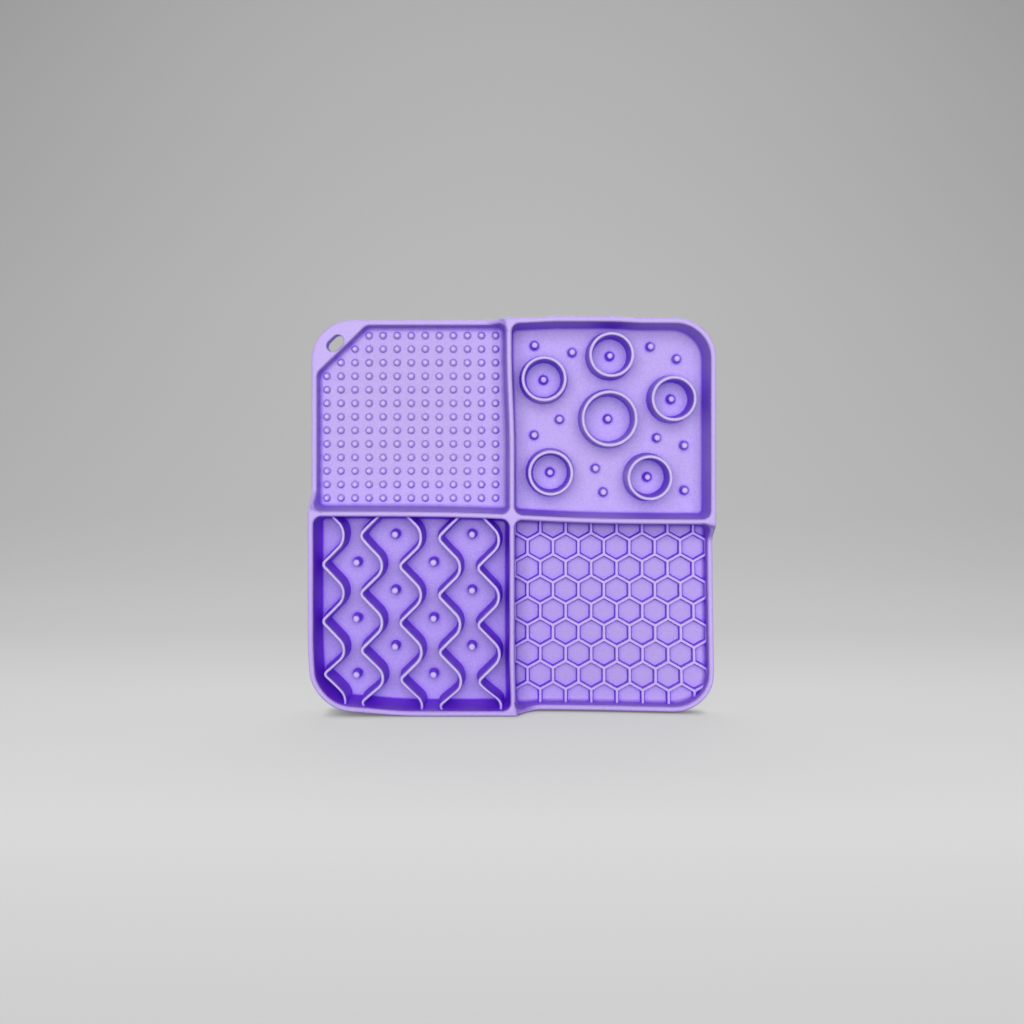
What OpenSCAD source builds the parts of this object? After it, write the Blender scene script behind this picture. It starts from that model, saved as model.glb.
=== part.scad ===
// Lick mat with four trays, standing upright on its lower edge.
// Front, with the trays, is -Y. The origin is at the middle of the footprint.

/* [Mat] */
// Width of the mat, side to side
mat_w = 200; // [180:2:240]
// Height of the mat as it stands
mat_h = 196; // [180:2:240]
// Radius of the four outer corners, seen from the front
corner_r = 20; // [14:1:24]
// Thickness of the sheet that is the floor of the trays
sheet_t = 2; // [1.5:0.1:4]

/* [Walls] */
// Height of the tall walls above the tray floors
tall_wall_h = 19; // [17:0.5:24]
// Height of the low walls above the tray floors
low_wall_h = 7.5; // [6:0.5:12]
// Thickness of the outer walls at their crest
rim_w = 2.7; // [2:0.1:4]
// Thickness of the cross divider at its crest
divider_w = 2.5; // [2:0.1:4]
// Draft of every wall that faces a tray, in degrees
wall_draft = 4.8; // [1:0.1:6]
// Radius of the inner tray corners at the tall crest
tray_corner_r = 4; // [3:0.1:8]

/* [Hanging tab] */
// Legs of the cut corner, along each rim at the low crest
tab_leg = 24.5; // [22:0.5:34]
// Radius at both ends of the cut
tab_corner_r = 5; // [2:0.5:8]
// Length of the hanging slot
slot_l = 10; // [8:0.5:14]
// Width of the hanging slot
slot_w = 6.4; // [5:0.1:8]
// Distance from the slot's middle to each outer edge
slot_inset = 11.8; // [10:0.1:14]

/* [Nubs] */
// Diameter of a nub at its foot
dot_d = 3.8; // [2.5:0.1:5]
// Diameter of a nub at its top
dot_top_d = 2.6; // [1.5:0.1:3.5]
// Height of a nub
dot_h = 2.6; // [1.5:0.1:3.5]
// Spacing of the nubs from side to side
dot_pitch_x = 7.08; // [6:0.01:9]
// Spacing of the nubs from row to row
dot_pitch_y = 6.82; // [6:0.01:9]
// Distance from the left wall's foot to the first column
dot_inset_x = 3.4; // [3:0.1:6]
// Distance from the divider's foot to the lowest row
dot_inset_y = 5.2; // [3:0.1:6]

/* [Rings] */
// Radius of the small rings, to the middle of their crest
ring_r = 10.4; // [8:0.1:11]
// Radius of the centre ring, to the middle of its crest
centre_ring_r = 13.1; // [10:0.1:14]
// Height of the rings above the tray floor
ring_h = 16; // [8:0.5:17]
// Thickness of the rings at their crest
ring_w = 1.9; // [1.2:0.1:2.6]
// Draft of the rings, in degrees
ring_draft = 2.5; // [0:0.1:4]
// Least gap between a ring or peg and a wall at the floor
wall_gap = 0.6; // [0.4:0.1:2]

/* [Pegs] */
// Diameter of a peg at its foot
peg_d = 4.6; // [3:0.1:6]
// Diameter of a peg at its top
peg_top_d = 3.2; // [2:0.1:4]
// Height of the pegs in the ring tray
peg_h = 5.5; // [3:0.1:10]
// Height of the pegs in the wave tray
wave_peg_h = 8.5; // [3:0.1:14]

/* [Wave fins] */
// Number of fins
fin_count = 5; // [3:1:5]
// Spacing of the fins
fin_pitch = 19.2; // [18:0.1:21]
// Distance from one bend to the next, along the fin
fin_half_wave = 14; // [13:0.1:16]
// Height of the fins above the tray floor
fin_h = 16; // [8:0.5:17]
// Thickness of the fins at their crest
fin_w = 1.8; // [1.2:0.1:2.2]
// Draft of the fins, in degrees
fin_draft = 2.5; // [0:0.1:3]
// Radius of the tight bends
fin_tight_r = 2.2; // [2:0.1:3]
// Radius of the wide bends
fin_wide_r = 7.5; // [6:0.1:9]

/* [Honeycomb] */
// Spacing of the cells from side to side
cell_pitch_x = 12.79; // [10:0.01:16]
// Spacing of the rows of cells
cell_pitch_y = 10.69; // [9:0.01:14]
// Thickness of the ribs between the cells
rib_w = 1.8; // [1.2:0.1:3]
// Height of the ribs above the tray floor
rib_h = 2.8; // [1.5:0.1:3.4]
// Distance from the divider's foot to the first cell's middle
cell_inset_x = 4.95; // [0:0.05:12]
// Distance from the lower wall's foot to the first row's middle
cell_inset_y = 3.3; // [0:0.1:12]

/* [Hidden] */
$fn = 64;

// How far cuts run past the faces that they cut
overrun = 1;
// Straight walls with a slope lose this much from foot to crest
tall_flare = tall_wall_h * tan(wall_draft);
low_flare = low_wall_h * tan(wall_draft);
mat_d = sheet_t + tall_wall_h;
low_z = sheet_t + low_wall_h;
mid_y = mat_h / 2;
// Feet of the walls at the tray floor, from the outer edge or the divider's middle
tall_foot = rim_w + tall_flare;
low_foot = rim_w + low_flare;
divider_foot = divider_w / 2 + tall_flare;
// Radius of an inner tray corner at the floor
foot_r = tray_corner_r - tall_flare;
// The sweeps from the low rims up to the divider are quarter circles
sweep_r = tall_wall_h - low_wall_h;

// Tray floors: left, right, bottom and top edges
dots_floor = [low_foot - mat_w / 2, -divider_foot, mid_y + divider_foot, mat_h - low_foot];
rings_floor = [divider_foot, mat_w / 2 - tall_foot, mid_y + divider_foot, mat_h - tall_foot];
waves_floor = [tall_foot - mat_w / 2, -divider_foot, tall_foot, mid_y - divider_foot];
comb_floor = [divider_foot, mat_w / 2 - low_foot, low_foot, mid_y - divider_foot];

// Places in the ring tray as shares of the room that is left beside the walls
ring_names = ["ring_left", "ring_top", "ring_right", "ring_lower_left", "ring_lower_right"];
ring_shares = [[0.005, 0.793], [0.497, 0.975], [0.952, 0.645], [0.053, 0.085], [0.776, 0.049]];
centre_ring_share = [0.481, 0.494];
peg_shares = [[0.064, 0.929], [0.281, 0.888], [0.732, 0.922], [0.884, 0.850], [0.208, 0.493],
    [0.062, 0.400], [0.770, 0.384], [0.927, 0.339], [0.415, 0.204], [0.460, 0.064],
    [0.929, 0.074]];
ring_foot_w = ring_w / 2 + ring_h * tan(ring_draft);
small_ring_keep = ring_r + ring_foot_w + wall_gap;
centre_ring_keep = centre_ring_r + ring_foot_w + wall_gap;
peg_keep = peg_d / 2 + wall_gap;

fin_foot_w = fin_w / 2 + fin_h * tan(fin_draft);
// A flank runs at 45 degrees between two bends of 90 degrees
bend_angle = 45;
fin_flank_l = (fin_half_wave - (fin_tight_r + fin_wide_r) * sin(bend_angle)) / cos(bend_angle);
fin_swing = (fin_tight_r + fin_wide_r) * (1 - cos(bend_angle)) + fin_flank_l * sin(bend_angle);
fin_bends = ceil((waves_floor[3] - waves_floor[2]) / fin_half_wave) + 1;
// Flanks run a little into the bends and are a hair thinner there, so that the two join
flank_lap_share = 0.11;
flank_less_share = 0.011;
flank_lap = flank_lap_share * fin_w;
flank_less = flank_less_share * fin_w;

mat_colour = [0.68, 0.58, 0.91];
texture_colour = [0.74, 0.65, 0.94];

// Stands the mat up: what is drawn flat, seen from the front, faces -Y
module standing() {
    translate([0, mat_d / 2, 0])
        rotate([90, 0, 0])
            children();
}

function floor_w(tray) = tray[1] - tray[0];
function floor_h(tray) = tray[3] - tray[2];

// A place in a tray from two shares, with a clear strip all round
function tray_place(tray, share, keep) = [
    tray[0] + keep + share[0] * (floor_w(tray) - 2 * keep),
    tray[2] + keep + share[1] * (floor_h(tray) - 2 * keep)];

module mat_outline() {
    straight_w = mat_w - 2 * corner_r;
    translate([-straight_w / 2, 0])
        square([straight_w, mat_h]);
    translate([-mat_w / 2, corner_r])
        square([mat_w, mat_h - 2 * corner_r]);
    for (x = [-straight_w / 2, straight_w / 2], y = [corner_r, mat_h - corner_r])
        translate([x, y])
            circle(corner_r);
}

// A round corner of a tray: its wall leans outward by the draft all the way up
module pocket_corner(x, y, r) {
    rise = tall_wall_h + overrun;
    translate([x, y, sheet_t])
        cylinder(h = rise, r1 = r, r2 = r + rise * tan(wall_draft));
}

// The hollow of a tray. Each corner's radius is given at the floor:
// left bottom, right bottom, right top, left top
module pocket(tray, radii) {
    hull() {
        pocket_corner(tray[0] + radii[0], tray[2] + radii[0], radii[0]);
        pocket_corner(tray[1] - radii[1], tray[2] + radii[1], radii[1]);
        pocket_corner(tray[1] - radii[2], tray[3] - radii[2], radii[2]);
        pocket_corner(tray[0] + radii[3], tray[3] - radii[3], radii[3]);
    }
}

module rings_pocket() {
    pocket(rings_floor, [foot_r, foot_r, corner_r - tall_foot, foot_r]);
}

module waves_pocket() {
    pocket(waves_floor, [corner_r - tall_foot, foot_r, foot_r, foot_r]);
}

module comb_pocket() {
    pocket(comb_floor, [foot_r, corner_r - low_foot, foot_r, foot_r]);
}

// The nub tray's hollow has its outer corner cut off at 45 degrees
module dots_pocket() {
    left = dots_floor[0];
    right = dots_floor[1];
    bottom = dots_floor[2];
    top = dots_floor[3];
    cut_r = tab_corner_r - low_flare;
    // Centre of the end radius, back from the corner between rim and cut
    end_back = tab_leg + tab_corner_r * tan(bend_angle / 2) - low_flare;
    hull() {
        pocket_corner(left + foot_r, bottom + foot_r, foot_r);
        pocket_corner(right - foot_r, bottom + foot_r, foot_r);
        pocket_corner(right - foot_r, top - foot_r, foot_r);
        pocket_corner(left + cut_r, top - end_back, cut_r);
        pocket_corner(left + end_back, top - cut_r, cut_r);
    }
}

// The strip of the plan that belongs to the cross divider, as wide as its feet
module cross_plan() {
    web = divider_foot + foot_r;
    translate([-divider_foot, 0])
        square([2 * divider_foot, mat_h]);
    translate([-mat_w / 2, mid_y - divider_foot])
        square([mat_w, 2 * divider_foot]);
    translate([-web, mid_y - web])
        square([2 * web, 2 * web]);
}

// One quarter of the plan, left or right and lower or upper
module quarter_plan(side, upper) {
    translate([side < 0 ? -mat_w / 2 : 0, upper ? mid_y : 0])
        square([mat_w / 2, mid_y]);
}

// The wall stock of one quarter, before its tray is cut, up to a given height
module quarter_stock(side, upper, wall_h) {
    translate([0, 0, sheet_t])
        linear_extrude(wall_h)
            difference() {
                intersection() {
                    mat_outline();
                    quarter_plan(side, upper);
                }
                cross_plan();
            }
}

// Quarter-circle sweep from a low rim up to the divider, along X from x = 0
module sweep_stock() {
    translate([0, 0, low_z])
        difference() {
            cube([sweep_r, low_foot, sweep_r]);
            translate([sweep_r, -overrun, sweep_r])
                rotate([-90, 0, 0])
                    cylinder(h = low_foot + 2 * overrun, r = sweep_r);
        }
}

module hanging_slot() {
    straight = slot_l - slot_w;
    translate([slot_inset - mat_w / 2, mat_h - slot_inset, -overrun])
        rotate([0, 0, bend_angle])
            linear_extrude(low_z + 2 * overrun) {
                square([straight, slot_w], center = true);
                for (x = [-straight / 2, straight / 2])
                    translate([x, 0])
                        circle(slot_w / 2);
            }
}

module back_sheet() {
    color(mat_colour)
        difference() {
            linear_extrude(sheet_t)
                mat_outline();
            hanging_slot();
        }
}

module cross_divider() {
    color(mat_colour)
        difference() {
            translate([0, 0, sheet_t])
                linear_extrude(tall_wall_h)
                    intersection() {
                        mat_outline();
                        cross_plan();
                    }
            dots_pocket();
            rings_pocket();
            waves_pocket();
            comb_pocket();
        }
}

module rings_tray_wall() {
    color(mat_colour)
        difference() {
            quarter_stock(1, true, tall_wall_h);
            rings_pocket();
        }
}

module waves_tray_wall() {
    color(mat_colour)
        difference() {
            quarter_stock(-1, false, tall_wall_h);
            waves_pocket();
        }
}

module honeycomb_tray_wall() {
    color(mat_colour)
        difference() {
            union() {
                quarter_stock(1, false, low_wall_h);
                translate([divider_foot, 0, 0])
                    sweep_stock();
                translate([mat_w / 2, mid_y - divider_foot, 0])
                    rotate([0, 0, -90])
                        mirror([0, 1, 0])
                            sweep_stock();
            }
            comb_pocket();
        }
}

// The solid corner is everything past the two ends of the cut
module tab_block() {
    reach = low_foot + tab_leg;
    translate([-mat_w / 2, mat_h - reach, 0])
        cube([reach, reach, low_z + overrun]);
}

module dots_tray_side_wall() {
    color(mat_colour)
        difference() {
            union() {
                intersection() {
                    quarter_stock(-1, true, low_wall_h);
                    translate([-mat_w / 2, mid_y, 0])
                        cube([low_foot + foot_r, mid_y, low_z + overrun]);
                }
                translate([-mat_w / 2, mid_y + divider_foot, 0])
                    rotate([0, 0, 90])
                        mirror([0, 1, 0])
                            sweep_stock();
            }
            tab_block();
            dots_pocket();
        }
}

module dots_tray_top_wall() {
    color(mat_colour)
        difference() {
            union() {
                intersection() {
                    quarter_stock(-1, true, low_wall_h);
                    translate([-mat_w / 2, mat_h - low_foot - foot_r, 0])
                        cube([mat_w / 2, low_foot + foot_r, low_z + overrun]);
                }
                translate([-divider_foot, mat_h, 0])
                    rotate([0, 0, 180])
                        sweep_stock();
            }
            tab_block();
            dots_pocket();
        }
}

module hanging_tab() {
    color(mat_colour)
        difference() {
            intersection() {
                quarter_stock(-1, true, low_wall_h);
                tab_block();
            }
            dots_pocket();
            hanging_slot();
        }
}

// A round nub with sloping sides and a domed top
module nub(foot_d, top_d, h) {
    dome_h = top_d / 4;
    dome_r = (top_d * top_d / 4 + dome_h * dome_h) / (2 * dome_h);
    intersection() {
        cylinder(h = h, d1 = foot_d, d2 = top_d * (1 + dome_h / h));
        translate([0, 0, h - dome_r])
            union() {
                sphere(dome_r);
                mirror([0, 0, 1])
                    cylinder(h = h, r = foot_d);
            }
    }
}

module dot_field() {
    first_x = dots_floor[0] + dot_inset_x;
    first_y = dots_floor[2] + dot_inset_y;
    columns = floor((floor_w(dots_floor) - dot_inset_x - dot_d / 2) / dot_pitch_x);
    rows = floor((floor_h(dots_floor) - dot_inset_y - dot_d / 2) / dot_pitch_y);
    color(texture_colour)
        translate([0, 0, sheet_t])
            for (column = [0 : columns], row = [0 : rows]) {
                x = first_x + column * dot_pitch_x;
                y = first_y + row * dot_pitch_y;
                // Room to the cut corner, measured square to the cut
                room = (x - dots_floor[0] + dots_floor[3] - y - tab_leg) / sqrt(2);
                if (room > dot_d / 2)
                    translate([x, y])
                        nub(dot_d, dot_top_d, dot_h);
            }
}

module ring(place, r) {
    crest = ring_w / 2;
    color(texture_colour)
        translate([place[0], place[1], sheet_t])
            rotate_extrude()
                polygon([
                    [r - ring_foot_w, 0], [r + ring_foot_w, 0],
                    [r + crest, ring_h], [r - crest, ring_h]]);
}

function ring_place(i) = tray_place(rings_floor, ring_shares[i], small_ring_keep);
centre_ring_place = tray_place(rings_floor, centre_ring_share, centre_ring_keep);

module ring_centre() {
    ring(centre_ring_place, centre_ring_r);
}

module ring_pegs() {
    places = concat([centre_ring_place], [for (i = [0 : len(ring_shares) - 1]) ring_place(i)]);
    color(texture_colour)
        for (place = places)
            translate([place[0], place[1], sheet_t])
                nub(peg_d, peg_top_d, peg_h);
}

module scattered_pegs() {
    color(texture_colour)
        for (share = peg_shares) {
            place = tray_place(rings_floor, share, peg_keep);
            translate([place[0], place[1], sheet_t])
                nub(peg_d, peg_top_d, peg_h);
        }
}

// Middle line of a fin, and the heights of its bends, counted down from the divider
function fin_x(i) = (waves_floor[0] + waves_floor[1]) / 2 + (i - (fin_count - 1) / 2) * fin_pitch;
function bend_y(n) = waves_floor[3] - (n + 1 / 2) * fin_half_wave;

// Cross-section of a fin, thinner by a little on both sides
module fin_section(less) {
    foot = fin_foot_w - less;
    crest = fin_w / 2 - less;
    polygon([[-foot, 0], [foot, 0], [crest, fin_h], [-crest, fin_h]]);
}

// One bend about its own centre, and the flank below it. A wide bend bulges to +X
module fin_bend(r) {
    rotate([0, 0, -bend_angle])
        rotate_extrude(angle = 2 * bend_angle)
            translate([r, 0])
                fin_section(0);
    rotate([0, 0, -bend_angle])
        translate([r, flank_lap, 0])
            rotate([90, 0, 0])
                linear_extrude(fin_flank_l + 2 * flank_lap)
                    fin_section(flank_less);
}

// A whole fin, cut to the tray. Odd and even fins bulge in turn
module wave_fin(i) {
    color(texture_colour)
        translate([0, 0, sheet_t])
            intersection() {
                translate([fin_x(i), 0, 0])
                    for (n = [-1 : fin_bends]) {
                        // Counted from the bend above the tray, which the divider cuts off
                        wide = (n + 2 + i) % 2 == 0;
                        r = wide ? fin_wide_r : fin_tight_r;
                        side = wide ? 1 : -1;
                        translate([side * (fin_swing / 2 - r), bend_y(n), 0])
                            mirror([wide ? 0 : 1, 0, 0])
                                fin_bend(r);
                    }
                translate([0, 0, -sheet_t])
                    waves_pocket();
            }
}

// One peg in each wide place between two fins
module wave_pegs() {
    color(texture_colour)
        translate([0, 0, sheet_t])
            for (i = [0 : fin_count - 2], n = [0 : fin_bends - 1]) {
                y = bend_y(n);
                x = (fin_x(i) + fin_x(i + 1)) / 2;
                if ((n + i) % 2 == 1 && y > waves_floor[2] + peg_keep)
                    translate([x, y])
                        nub(peg_d, peg_top_d, wave_peg_h);
            }
}

// The plan of one cell, an upright hexagon less half a rib all round
module cell_plan() {
    half_w = cell_pitch_x / 2;
    // Upright sides and sloping sides share a row in the ratio two to one
    side_half = cell_pitch_y / 3;
    tip = 2 * cell_pitch_y / 3;
    open_share = 1 - rib_w / cell_pitch_x;
    scale(open_share)
        polygon([
            [0, tip], [half_w, side_half], [half_w, -side_half],
            [0, -tip], [-half_w, -side_half], [-half_w, side_half]]);
}

module honeycomb_lattice() {
    first_x = comb_floor[0] + cell_inset_x;
    first_y = comb_floor[2] + cell_inset_y;
    columns = ceil(floor_w(comb_floor) / cell_pitch_x);
    rows = ceil(floor_h(comb_floor) / cell_pitch_y);
    color(texture_colour)
        intersection() {
            translate([0, 0, sheet_t])
                linear_extrude(rib_h)
                    difference() {
                        translate([comb_floor[0] - tall_flare, comb_floor[2] - low_flare])
                            square([floor_w(comb_floor) + 2 * tall_flare,
                                floor_h(comb_floor) + 2 * tall_flare]);
                        for (row = [-1 : rows], column = [-1 : columns])
                            translate([
                                first_x + (column + (row % 2 == 0 ? 0 : 1 / 2)) * cell_pitch_x,
                                first_y + row * cell_pitch_y])
                                cell_plan();
                    }
            comb_pocket();
        }
}

standing() {
    back_sheet();
    cross_divider();
    rings_tray_wall();
    waves_tray_wall();
    honeycomb_tray_wall();
    dots_tray_side_wall();
    dots_tray_top_wall();
    hanging_tab();
    dot_field();
    for (i = [0 : len(ring_names) - 1])
        ring(ring_place(i), ring_r);
    ring_centre();
    ring_pegs();
    scattered_pegs();
    for (i = [0 : fin_count - 1])
        wave_fin(i);
    wave_pegs();
    honeycomb_lattice();
}
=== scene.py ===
# %% [markdown]
# # A silicone lick mat
# A lick mat is one soft moulding: a sheet with four trays, and shapes in each tray that make a pet
# lick slowly. The CAD model gives every wall and peg its place, but with sharp edges. This lesson
# gives them the round crests, soft feet and satin skin of moulded silicone.

# %% Load the CAD model
import math
import bpy
import bmesh
from mathutils import Matrix, Vector


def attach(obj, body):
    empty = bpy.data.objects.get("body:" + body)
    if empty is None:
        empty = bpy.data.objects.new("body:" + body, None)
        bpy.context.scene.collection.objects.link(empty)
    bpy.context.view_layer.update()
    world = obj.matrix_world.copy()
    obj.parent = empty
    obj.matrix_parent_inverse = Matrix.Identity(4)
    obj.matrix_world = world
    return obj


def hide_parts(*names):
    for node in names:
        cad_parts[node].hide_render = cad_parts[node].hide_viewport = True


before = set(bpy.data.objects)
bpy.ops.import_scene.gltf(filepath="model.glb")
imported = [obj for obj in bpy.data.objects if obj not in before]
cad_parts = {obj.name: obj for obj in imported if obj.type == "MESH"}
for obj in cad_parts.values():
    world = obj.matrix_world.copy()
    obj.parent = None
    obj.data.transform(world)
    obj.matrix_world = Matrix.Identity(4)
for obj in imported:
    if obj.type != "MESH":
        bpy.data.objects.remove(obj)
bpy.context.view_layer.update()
print("CAD nodes:", len(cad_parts))

# %% [markdown]
# ## Sizes
# The mat's sizes are in millimetres, and become metres when a piece is finished.
# The mat is drawn lying down, seen from the front: x to the right, y up the mat, z out of its back
# towards the viewer. One matrix stands it up at the end, with the trays facing -Y.

# %% Sizes of the moulding
MM = 0.001
MAT_W = 200
MAT_H = 196
CORNER_R = 20
SHEET_T = 2
# Heights of the tall and the low crests over the back
TALL_TOP = 21
LOW_TOP = 9.5
# Widths of the walls at their crests
RIM_W = 2.7
DIVIDER_W = 2.5
TRAY_R = 4
DRAFT = math.radians(4.8)
STAND_UP = Matrix.Translation((0, TALL_TOP / 2 * MM, 0)) @ Matrix.Rotation(math.pi / 2, 4, "X")


def flare(top):
    """How far a wall leans out between the tray floor and its crest."""
    return (top - SHEET_T) * math.tan(DRAFT)


TALL_FOOT = RIM_W + flare(TALL_TOP)
LOW_FOOT = RIM_W + flare(LOW_TOP)
DIVIDER_FOOT = DIVIDER_W / 2 + flare(TALL_TOP)
FLOOR_R = TRAY_R - flare(TALL_TOP)
LEFT, RIGHT, MIDDLE = -MAT_W / 2, MAT_W / 2, MAT_H / 2
# Left, bottom, right and top edge of each tray's floor
NUB_TRAY = (LEFT + LOW_FOOT, MIDDLE + DIVIDER_FOOT, -DIVIDER_FOOT, MAT_H - LOW_FOOT)
RING_TRAY = (DIVIDER_FOOT, MIDDLE + DIVIDER_FOOT, RIGHT - TALL_FOOT, MAT_H - TALL_FOOT)
WAVE_TRAY = (LEFT + TALL_FOOT, TALL_FOOT, -DIVIDER_FOOT, MIDDLE - DIVIDER_FOOT)
COMB_TRAY = (DIVIDER_FOOT, LOW_FOOT, RIGHT - LOW_FOOT, MIDDLE - DIVIDER_FOOT)
print("Ring tray floor:", [round(v, 2) for v in RING_TRAY])

# %% [markdown]
# ## The outlines of the trays
# Silicone is cast in a mould, so each wall leans back a little to let go of it. The shell could be
# cut from a block with booleans and then bevelled, but bevels fail where walls of two heights
# meet. Here each tray is an outline that is offset outward as it climbs, so its foot, wall and
# round crest are rows of one grid.

# %% Places on an outline
RUN = 3.0
ARC_STEP = 7.5


def arc(centre, radius, start, end, top):
    """Places on an arc: point, outward direction, crest height, name of its row in a sweep."""
    steps = round((end - start) / ARC_STEP)
    places = []
    for i in range(steps + 1):
        angle = math.radians(start + (end - start) * i / steps)
        out = Vector((math.cos(angle), math.sin(angle)))
        places.append((Vector(centre) + radius * out, out, top, None))
    return places


def corner(tray, which, r, top):
    """A plain corner: 0 is the lower left one, and they go round counter-clockwise."""
    x = tray[2] - r if which in (1, 2) else tray[0] + r
    y = tray[3] - r if which in (2, 3) else tray[1] + r
    start = (180 + 90 * which) % 360
    return arc((x, y), r, start, start + 90, top)


def closed(pieces):
    """Joins arcs into a closed outline, with places along the straight runs between them."""
    outline = []
    for piece, following in zip(pieces, pieces[1:] + pieces[:1]):
        outline += piece
        (a, out, top, _), b = piece[-1], following[0][0]
        steps = max(1, round((b - a).length / RUN))
        outline += [(a.lerp(b, i / steps), out, top, None) for i in range(1, steps)]
    return outline


print("A quarter circle has", len(arc((0, 0), 1, 0, 90, LOW_TOP)), "places")

# %% [markdown]
# ## The sweeps
# Where a low rim meets the tall divider, its crest sweeps up in a soft curve. A curve object with
# a bevel would be quicker to draw. But these rows are shared by the tray's corner and the outer
# edge, so that the land between the two can be laid in plain four-sided faces.

# %% Rows of a sweep
SWEEP_R = TALL_TOP - LOW_TOP
SWEEP_POWER = 2.3
LIP_R = 2.4
LIP_STEPS = 5
FALL_STEPS = 22
# Above 1, the rows of the fall crowd together near the divider
FALL_CROWDING = 1.5


def sweep_rows():
    """Distance from the divider's foot and height of the crest, from the divider down."""
    steepest = math.atan(SWEEP_POWER)
    rows = []
    for i in range(LIP_STEPS + 1):
        angle = steepest * i / LIP_STEPS
        along = LIP_R * (math.sin(angle) - math.sin(steepest))
        rows.append((along, TALL_TOP - LIP_R * (1 - math.cos(angle))))
    rise = rows[-1][1] - LOW_TOP
    for i in range(1, FALL_STEPS + 1):
        share = (i / FALL_STEPS) ** FALL_CROWDING
        rows.append((SWEEP_R * share, LOW_TOP + rise * (1 - share) ** SWEEP_POWER))
    return rows


ROWS = sweep_rows()
print("Rows in a sweep:", len(ROWS))

# %% Sweeps at a tray's corner and at the outer edge


def swept_corner(name, corner, low_way, tall_way):
    """A tray corner between a tall and a low side, from the tall side to the low one."""
    corner, a, b = Vector(corner), Vector(low_way), Vector(tall_way)
    places = []
    for row, (t, top) in enumerate(ROWS):
        if t <= 0:
            point, out = corner + b * (FLOOR_R - t), -a
        elif t < FLOOR_R:
            turn = math.acos(1 - t / FLOOR_R)
            out = -(a * math.cos(turn) + b * math.sin(turn))
            point = corner + (a + b) * FLOOR_R + out * FLOOR_R
        else:
            point, out = corner + a * t, -b
        places.append((point, out, top, (name, row)))
    return places


def swept_edge(name, start, way, out):
    """The same rows along the mat's outer edge."""
    start, way, out = Vector(start), Vector(way), Vector(out)
    return [(start + way * t, out, top, (name, row)) for row, (t, top) in enumerate(ROWS)]


print("Rows on the round of a tray's corner:", sum(0 < t < FLOOR_R for t, _ in ROWS))

# %% [markdown]
# ## Five outlines
# Two trays have tall rims and plain corners. The other two have rims of both kinds, and a sweep in
# two corners. The nub tray also loses a corner to the hanging tab. The fifth outline is the outer
# edge of the mat, which meets all four sweeps.

# %% The nub tray and the honeycomb tray
TAB_LEG = 24.5
TAB_R = 5


def nub_outline():
    """Sweeps at the lower left and upper right, and a cut corner at the upper left."""
    x0, y0, x1, y1 = NUB_TRAY
    cut_r = TAB_R - flare(LOW_TOP)
    back = TAB_LEG + TAB_R * math.tan(math.pi / 8) - flare(LOW_TOP)
    return closed([
        swept_corner("left", (x0, y0), (0, 1), (1, 0))[::-1],
        corner(NUB_TRAY, 1, FLOOR_R, TALL_TOP),
        swept_corner("top", (x1, y1), (-1, 0), (0, -1)),
        arc((x0 + back, y1 - cut_r), cut_r, 90, 135, LOW_TOP),
        arc((x0 + cut_r, y1 - back), cut_r, 135, 180, LOW_TOP)])


def comb_outline():
    """Sweeps at the lower left and upper right, and a wide corner at the lower right."""
    x0, y0, x1, y1 = COMB_TRAY
    return closed([
        swept_corner("bottom", (x0, y0), (1, 0), (0, 1)),
        corner(COMB_TRAY, 1, CORNER_R - LOW_FOOT, LOW_TOP),
        swept_corner("right", (x1, y1), (0, -1), (-1, 0))[::-1],
        corner(COMB_TRAY, 3, FLOOR_R, TALL_TOP)])


print("Places round the nub tray:", len(nub_outline()))

# %% The other outlines


def tall_outline(tray, wide):
    """Four plain corners, and the one at the mat's own corner is wide."""
    radii = [CORNER_R - TALL_FOOT if i == wide else FLOOR_R for i in range(4)]
    return closed([corner(tray, i, r, TALL_TOP) for i, r in enumerate(radii)])


def outer_outline():
    """The mat's edge: tall at two opposite corners, low at the others."""
    mat = (LEFT, 0, RIGHT, MAT_H)
    foot = DIVIDER_FOOT
    return closed([
        corner(mat, 0, CORNER_R, TALL_TOP),
        swept_edge("bottom", (foot, 0), (1, 0), (0, -1)),
        corner(mat, 1, CORNER_R, LOW_TOP),
        swept_edge("right", (RIGHT, MIDDLE - foot), (0, -1), (1, 0))[::-1],
        corner(mat, 2, CORNER_R, TALL_TOP),
        swept_edge("top", (-foot, MAT_H), (-1, 0), (0, 1)),
        corner(mat, 3, CORNER_R, LOW_TOP),
        swept_edge("left", (LEFT, MIDDLE + foot), (0, 1), (-1, 0))[::-1]])


TRAYS = {"nubs": nub_outline(), "rings": tall_outline(RING_TRAY, 2),
    "waves": tall_outline(WAVE_TRAY, 0), "comb": comb_outline()}
OUTER = outer_outline()
print("Places on the outlines:", {name: len(o) for name, o in TRAYS.items()}, len(OUTER))

# %% [markdown]
# ## The shell
# The sheet, its rims, the cross divider and the hanging tab are one skin here, because on the real
# mat nothing parts them. Each outline climbs through a profile: a soft foot, the leaning wall and
# a round crest. The two low trays have the softest feet.

# %% Profiles: distance out from the outline, and height
FOOT_R = {"nubs": 2.4, "rings": 1.5, "waves": 1.5, "comb": 2.2}
CREST_R = 0.95
EDGE_R = 1.0
BACK_R = 0.7
SLOT_R = 0.6
ROUND_STEPS = 6


def curve(centre, radius, start, end, steps=ROUND_STEPS):
    """Points of an arc in a profile, from one angle to another in degrees."""
    angles = [math.radians(start + (end - start) * i / steps) for i in range(steps + 1)]
    return [(centre[0] + radius * math.cos(a), centre[1] + radius * math.sin(a)) for a in angles]


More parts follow.
